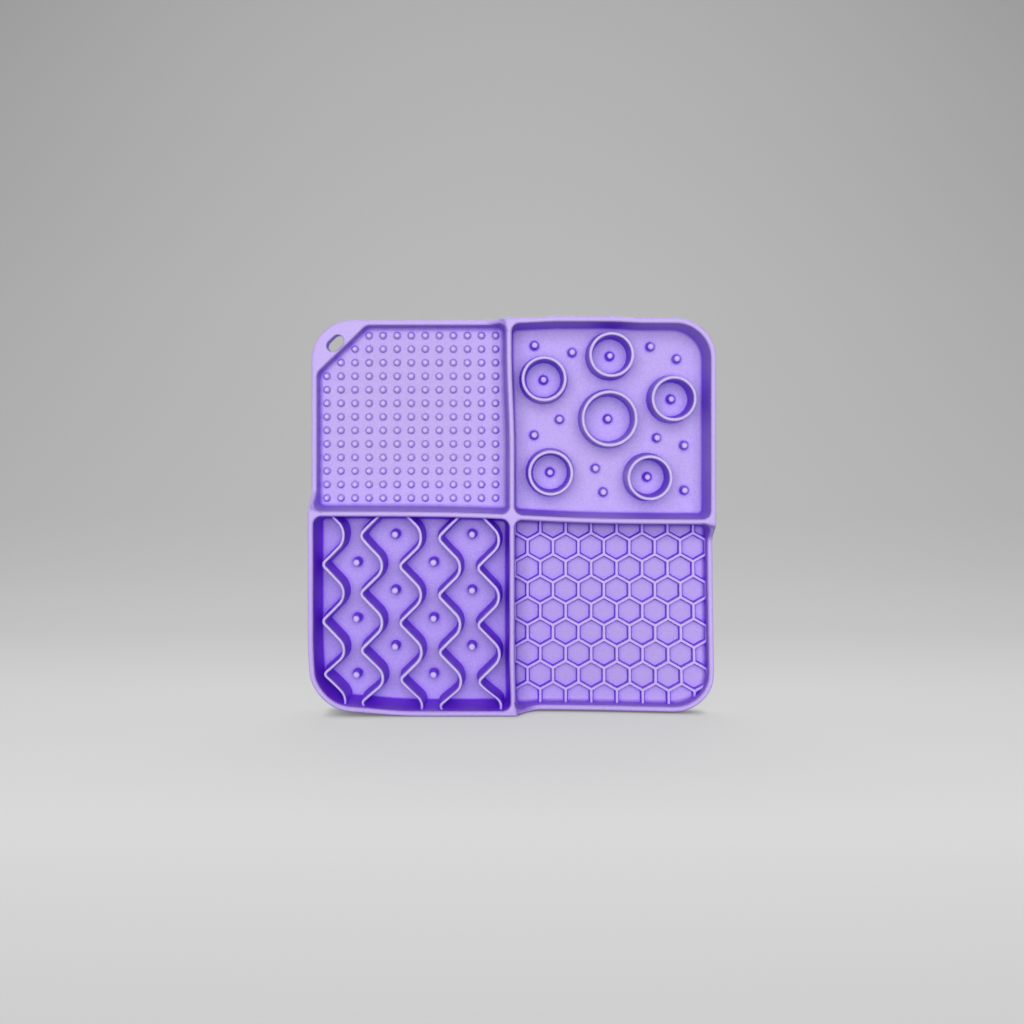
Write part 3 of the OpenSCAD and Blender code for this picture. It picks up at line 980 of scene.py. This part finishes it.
# A nub is dropped if x - y is less than this
cut = NUB_TRAY[0] - NUB_TRAY[3] + TAB_LEG + NUB_D / math.sqrt(2)
nub_line = dome(NUB_TOP_D, NUB_H, NUB_DOME_STEPS)
nub_line += [(NUB_D / 2 + x, y) for x, y in NUB_FLARE] + [(0, -ROOT)]
nubs = grown(NUB_TREE, line_mesh("nub section", nub_line, False, PEG_TURN), "nubs", {
    "Turn Radius": PEG_TURN, "Sides": NUB_SIDES, "Columns": NUB_COUNT, "Rows": NUB_COUNT,
    "Pitch X": NUB_PITCH[0], "Pitch Y": NUB_PITCH[1], "First": NUB_FIRST, "Cut": cut})
finish_piece("soft_nubs", nubs, ["dot_field"], ["nubs"])

# %% [markdown]
# ## The wavy fins
# Five thin fins stand in the wave tray, and food hides between them. A fin's middle line goes
# through wide bends to one side and tight bends to the other, joined by flanks at 45 degrees. It
# could be drawn by hand as a Bezier curve. Folded with a ping-pong, the whole line is one rule for
# half a wave, so the tree bends a straight line by that rule and pulls the section along it.

# %% The line of a fin
HALF_WAVE = 14
TIGHT_BEND_R = 2.2
WIDE_BEND_R = 7.5
BEND = math.pi / 4
FLANK = (HALF_WAVE - (TIGHT_BEND_R + WIDE_BEND_R) * math.sin(BEND)) / math.cos(BEND)
SWING = (TIGHT_BEND_R + WIDE_BEND_R) * (1 - math.cos(BEND)) + FLANK * math.sin(BEND)


def fin_x(y, given):
    """How far the middle line lies to one side at a height y, as a wire."""
    wide, tight, half = given["Wide Radius"], given["Tight Radius"], given["Swing"] / 2
    u = (y - given["Wide Bend Y"]).fold(given["Half Wave"])
    v = given["Half Wave"] - u
    in_wide = u < wide * math.sin(BEND)
    in_tight = v < tight * math.sin(BEND)
    wide_x = half - wide + (wide * wide - u * u).root()
    tight_x = tight - half - (tight * tight - v * v).root()
    flank_x = half - wide * (1 - math.sqrt(2)) - u
    return in_wide * wide_x + in_tight * tight_x + (1 - in_wide - in_tight) * flank_x


def fin_tree():
    bench, given = new_tree("wavy fin", {"Start": "Vector", "End": "Vector", "Steps": "Int",
        "Wide Bend Y": "Float", "Half Wave": "Float", "Wide Radius": "Float",
        "Tight Radius": "Float", "Swing": "Float"})
    line = bench.node("GeometryNodeCurvePrimitiveLine",
        {"Start": given["Start"], "End": given["End"]})[0]
    line = bench.node("GeometryNodeResampleCurve", {0: line, "Count": given["Steps"]})[0]
    y = bench.axes(bench.node("GeometryNodeInputPosition")[0])[1]
    shift = bench.node("ShaderNodeCombineXYZ", {0: fin_x(y, given)})[0]
    path = bench.node("GeometryNodeSetPosition", {0: line, "Offset": shift})[0]
    section = bench.node("GeometryNodeMeshToCurve", {0: given["Geometry"]})[0]
    fin = bench.node("GeometryNodeCurveToMesh",
        {0: path, "Profile Curve": section, "Fill Caps": True})[0]
    return end_tree(bench, given, fin)


FIN_TREE = fin_tree()
print("A fin swings by", round(SWING, 2), "mm")

# %% Fins
FIN_COUNT = 5
FIN_PITCH = 19.2
FIN_H = 16
FIN_W = 1.8
FIN_LEAN = 2.5
FIN_CREST = 0.75
FIN_ROUND = (0.7, 0.5)
FIN_STEPS = 280
BEND_COUNT = 7
# How far a fin runs on into the walls below and above
IN_WALL = 2.2
IN_DIVIDER = 4.0
FIN_X = [(WAVE_TRAY[0] + WAVE_TRAY[2]) / 2 + (i - (FIN_COUNT - 1) / 2) * FIN_PITCH
    for i in range(FIN_COUNT)]
BEND_Y = [WAVE_TRAY[3] - (n + 0.5) * HALF_WAVE for n in range(BEND_COUNT)]
fin_lean = narrowed(FIN_W / 2, FIN_H, FIN_LEAN, FIN_CREST)[1]
fin_line = wall_section(FIN_CREST, FIN_H, fin_lean, *FIN_ROUND)
for i, x in enumerate(FIN_X):
    fin = grown(FIN_TREE, line_mesh("fin section", fin_line, True), "fins", {
        "Start": (x, WAVE_TRAY[1] - IN_WALL, SHEET_T), "End": (x, WAVE_TRAY[3] + IN_DIVIDER, SHEET_T),
        "Steps": FIN_STEPS, "Wide Bend Y": BEND_Y[i % 2], "Half Wave": HALF_WAVE,
        "Wide Radius": WIDE_BEND_R, "Tight Radius": TIGHT_BEND_R, "Swing": SWING})
    node = f"wave_fin_{i + 1}"
    finish_piece("soft_" + node, fin, [node], ["fins"], (sag, slack))

# %% [markdown]
# A taller peg stands in each wide place between two fins. The tree for turned shapes serves again.

# %% Pegs between the fins
WAVE_PEG_H = 8.5
WAVE_PEG_TOP_D = 3.5
WAVE_PEG_SHIFT = 0.5
lowest = WAVE_TRAY[1] + PEG_D / 2 + WALL_GAP
wave_places = [((FIN_X[i] + FIN_X[i + 1]) / 2 + WAVE_PEG_SHIFT, y) for i in range(FIN_COUNT - 1)
    for n, y in enumerate(BEND_Y) if (n + i) % 2 == 1 and y > lowest]
wave_peg_line = peg_section(PEG_D, WAVE_PEG_TOP_D, WAVE_PEG_H, PEG_FOOT_R)
turned_piece("soft_wave_pegs", "wave_pegs", wave_places, wave_peg_line, "pegs", PEG_SIDES)
print("Pegs between the fins:", len(wave_places))

# %% [markdown]
# ## The honeycomb
# Low ribs in a honeycomb hold a thin layer of food. A Wireframe modifier on a honeycomb of flat
# cells would give square ribs. Here one tile is a six-sided pit with half a rib all round, so
# that crest and foot are round, and tiles that touch share whole ribs.

# %% One tile
CELL = (12.79, 10.69)
RIB_CREST = 0.66
RIB_H = 2.8
RIB_LEAN = 11
RIB_ROUND = (0.4, 0.25)
# The round of a pit's corners at the crest, and what it gains for each millimetre further in
PIT_R, PIT_R_GAIN = 0.15, 1 / 6


def tile_loop(inset, height, r):
    """A six-sided loop with round corners, the given distance inside the tile's edge."""
    w, side, tip = CELL[0] / 2, CELL[1] / 3, CELL[1] * 2 / 3
    share = 1 - inset / w
    hexagon = [Vector((x * share, y * share)) for x, y in
        ((0, tip), (-w, side), (-w, -side), (0, -tip), (w, -side), (w, side))]
    loop = []
    for i, point in enumerate(hexagon):
        before, after = hexagon[i - 1], hexagon[(i + 1) % 6]
        a = point + (before - point).normalized() * r
        b = point + (after - point).normalized() * r
        middle = (a + b + 2 * point) / 4
        loop += [(*p, height) for p in (a, middle, b)]
    return loop


def tile_mesh():
    """Half a rib all round a pit, closed below but open to the next tile."""
    bm = bmesh.new()
    rows = [[bm.verts.new(p) for p in tile_loop(x, y, PIT_R + x * PIT_R_GAIN)]
        for x, y in half_section(RIB_CREST, RIB_H, RIB_LEAN, *RIB_ROUND)]
    count = len(rows[0])
    for a, b in zip(rows, rows[1:]):
        for i in range(count):
            j = (i + 1) % count
            bm.faces.new((a[i], b[i], b[j], a[j]))
    for row, height in ((rows[0], RIB_H - SINK), (rows[-1], -ROOT)):
        edge = [bm.verts.new(p) for p in tile_loop(0, height, 0)[1::3]]
        for i in range(6):
            a, b, c, d = row[3 * i], row[3 * i + 1], row[3 * i + 2], row[(3 * i + 3) % count]
            bm.faces.new((edge[i], a, b))
            bm.faces.new((edge[i], b, c))
            bm.faces.new((edge[i], c, d, edge[(i + 1) % 6]))
    mesh = bpy.data.meshes.new("tile")
    bm.to_mesh(mesh)
    bm.free()
    return mesh


TILE = tile_mesh()
print("Faces in a tile:", len(TILE.polygons))

# %% [markdown]
# The tree sets tiles in rows, every other row half a tile along, and merges them into one lattice.

# %% The tree for the honeycomb


def comb_tree():
    bench, given = new_tree("honeycomb", GRID)
    y = bench.axes(bench.node("GeometryNodeInputPosition")[0])[1]
    odd = (y / given["Pitch Y"]).rounded() % 2
    shift = bench.node("ShaderNodeCombineXYZ", {0: odd * given["Pitch X"] / 2})[0]
    offset = bench.node("ShaderNodeVectorMath", {0: given["First"], 1: shift}, operation="ADD")[0]
    rows = bench.node("GeometryNodeSetPosition",
        {0: point_grid(bench, given), "Offset": offset})[0]
    return end_tree(bench, given, copies(bench, rows, given["Geometry"]))


COMB_TREE = comb_tree()

# %% [markdown]
# The lattice is laid larger than the tray. Planes then cut off what would pass through the walls,
# following the round corner as a chain of short cuts, and each cut is closed again.

# %% Lay the tiles and trim them
COMB_COLUMNS, COMB_ROWS = 10, 12
# The first tile lies a cell and a half to the left of the first whole pit, and a row below it
FIRST_PIT = (COMB_TRAY[0] + 4.95, COMB_TRAY[1] + 3.3)
FIRST_TILE = (FIRST_PIT[0] - CELL[0] * 1.5, FIRST_PIT[1] - CELL[1], SHEET_T)
# How far the ribs run on into the walls
TRIM = 2.0
comb = grown(COMB_TREE, TILE, "ribs", {"Columns": COMB_COLUMNS, "Rows": COMB_ROWS,
    "Pitch X": CELL[0], "Pitch Y": CELL[1], "First": FIRST_TILE})
cuts = {}
for point, out, _, _ in TRAYS["comb"]:
    cuts[round(out.x, 3), round(out.y, 3)] = (point + out * TRIM, out)
for point, out in cuts.values():
    made = bmesh.ops.bisect_plane(comb, geom=comb.verts[:] + comb.edges[:] + comb.faces[:],
        dist=ON_PLANE, plane_co=(*point, 0), plane_no=(*out, 0), clear_outer=True)["geom_cut"]
    rim = [item for item in made if isinstance(item, bmesh.types.BMEdge)]
    bmesh.ops.holes_fill(comb, edges=rim, sides=0)
print("Cuts round the honeycomb:", len(cuts))
finish_piece("soft_honeycomb", comb, ["honeycomb_lattice"], ["ribs"], (curl,))

# %% [markdown]
# ## The studio
# The mat stands on a pale sheet of paper that curves up into a grey backdrop. A real photographer
# lights the paper apart from the object. More lamps here would spill on the mat, so the paper
# glows instead, for the camera only, and a painted contact shadow darkens it where something touches
# it.

# %% The paper's shape, in metres
STAGE_W = 8
STAGE_FRONT = -3
STAGE_TURN_Y = 0.5
STAGE_TURN_R = 0.6
STAGE_TURN_STEPS = 24
STAGE_TOP = 4


def stage_mesh():
    """A strip of floor that turns up into a wall through a quarter circle."""
    turn = curve((STAGE_TURN_Y, STAGE_TURN_R), STAGE_TURN_R, -90, 0, STAGE_TURN_STEPS)
    line = [(STAGE_FRONT, 0), *turn, (STAGE_TURN_Y + STAGE_TURN_R, STAGE_TOP)]
    mesh = bpy.data.meshes.new("studio_sweep")
    mesh.from_pydata([(x, y, z) for y, z in line for x in (-STAGE_W / 2, STAGE_W / 2)],
        [], [(2 * i, 2 * i + 1, 2 * i + 3, 2 * i + 2) for i in range(len(line) - 1)])
    mesh.shade_smooth()
    return mesh


studio = placed("studio", stage_mesh())
print("Faces in the paper:", len(studio.data.polygons))

# %% The paper's finish
# How far along the paper, in metres from the mat, and how bright it is there
PAPER_GREYS = [(-0.35, 0.49), (-0.18, 0.59), (-0.04, 0.55), (0.06, 0.53), (0.25, 0.445),
    (0.5, 0.42), (0.8, 0.37), (1.35, 0.363), (1.7, 0.342), (1.9, 0.3)]
PAPER_FALL = 0.98
PAPER_EVEN = 0.5
CONTACT = 0.007
CONTACT_SHADE = 0.75
PAPER_BASE = 0.12


def grey(value):
    return (value, value, value, 1)


def seen_directly(bench):
    """1 for what the camera sees, also in a gloss or through a clear body, and 0 for lighting."""
    rays = bench.node("ShaderNodeLightPath")
    return rays["Is Camera Ray"] + rays["Is Glossy Ray"] + rays["Is Transmission Ray"]


def paper():
    """Grey paper that glows a little, less far aside, with a painted contact shadow where something
    touches it.
    """
    material, bench, shader = new_material("studio_paper")
    place = bench.axes(bench.node("ShaderNodeTexCoord")["Object"])
    first, last = PAPER_GREYS[0][0], PAPER_GREYS[-1][0]
    along = (place[1] + place[2] - first) / (last - first)
    stops = [((s - first) / (last - first), grey(g)) for s, g in PAPER_GREYS]
    tone = bench.node("ShaderNodeValToRGB", {0: along}, stops=stops)[0]
    aside = PAPER_EVEN + (1 - PAPER_EVEN) / (place[0] * place[0] * PAPER_FALL + 1)
    # Painted contact shadow: the glow dims where the mat stands within reach
    lit = 1 - CONTACT_SHADE + CONTACT_SHADE * free_room(bench, CONTACT)
    tone = bench.blend(aside * lit, grey(0), tone)
    bench.feed(shader, {
        "Emission Color": bench.blend(seen_directly(bench), grey(0), tone),
        "Emission Strength": 1, "Base Color": grey(PAPER_BASE), "Roughness": 0.9,
        "Specular IOR Level": 0.1})
    return material


studio.data.materials.append(paper())
print("Greys along the paper:", [g for _, g in PAPER_GREYS])

# %% [markdown]
# ## The camera
# The photograph was taken level, from a little above the mat's middle, with its upright lines
# upright. So the camera isn't tilted: it looks straight along Y, and its lens is shifted down to
# frame the mat.

# %% Camera
PHOTO_SIZE = 1024
FOCAL_PIXELS = 1227
SHIFT_PIXELS = -77
SENSOR = 36
camera = placed("photo_camera", bpy.data.cameras.new("photo_camera"))
camera.location = (0, -0.6105, 0.1378)
camera.rotation_euler = (math.pi / 2, 0, 0)
camera.data.sensor_width = SENSOR
camera.data.lens = SENSOR * FOCAL_PIXELS / PHOTO_SIZE
camera.data.shift_y = SHIFT_PIXELS / PHOTO_SIZE
camera.data.clip_start = 0.05
camera.data.clip_end = 20
bpy.context.scene.camera = camera
print("Lens:", round(camera.data.lens, 1), "mm")

# %% [markdown]
# ## The lights
# One large softbox in front and above gives the soft shade in the trays. A long low one stands
# for light that comes back from the floor. Three more light the back and the sides from behind
# the mat, so that they hardly reach its front.

# %% Lights
# Place and target in metres, size in metres, and watts
SOFTBOXES = {
    "key_softbox": ((0, -1.35, 0.46), (0, 0, 0.1), (1.25, 0.84), 16.2),
    "back_softbox": ((0, 0.75, 1.15), (0, 0, 0.1), (1.2, 0.6), 11),
    "floor_bounce": ((0, -0.9, 0.06), (0, 0, 0.15), (0.9, 0.1), 1.8),
    "left_softbox": ((-1.3, 0.3, 0.55), (0, 0, 0.1), (0.5, 0.5), 4),
    "right_softbox": ((1.3, 0.3, 0.55), (0, 0, 0.1), (0.5, 0.5), 4)}
for name, (place, target, size, watts) in SOFTBOXES.items():
    light = bpy.data.lights.new(name, "AREA")
    light.shape = "RECTANGLE"
    light.size, light.size_y = size
    light.energy = watts
    lamp = placed(name, light)
    lamp.location = place
    lamp.rotation_euler = (Vector(target) - Vector(place)).to_track_quat("-Z", "Y").to_euler()
    lamp.visible_camera = False
print("Softboxes:", len(SOFTBOXES))

# %% [markdown]
# The air of the room fills the shadows a little. Seen directly, past the edge of the paper, it is
# as grey as the paper is.

# %% The air, and plain colours
AIR_LIGHT = 0.09
AIR_SEEN = 0.35
world = bpy.data.worlds.new("studio_air")
world.use_nodes = True
air = Bench(world.node_tree)
glow = air.blend(seen_directly(air), grey(AIR_LIGHT), grey(AIR_SEEN))
air.feed(world.node_tree.nodes["Background"], {"Color": glow})
bpy.context.scene.world = world
bpy.context.scene.view_settings.view_transform = "Standard"
print("View:", bpy.context.scene.view_settings.view_transform)
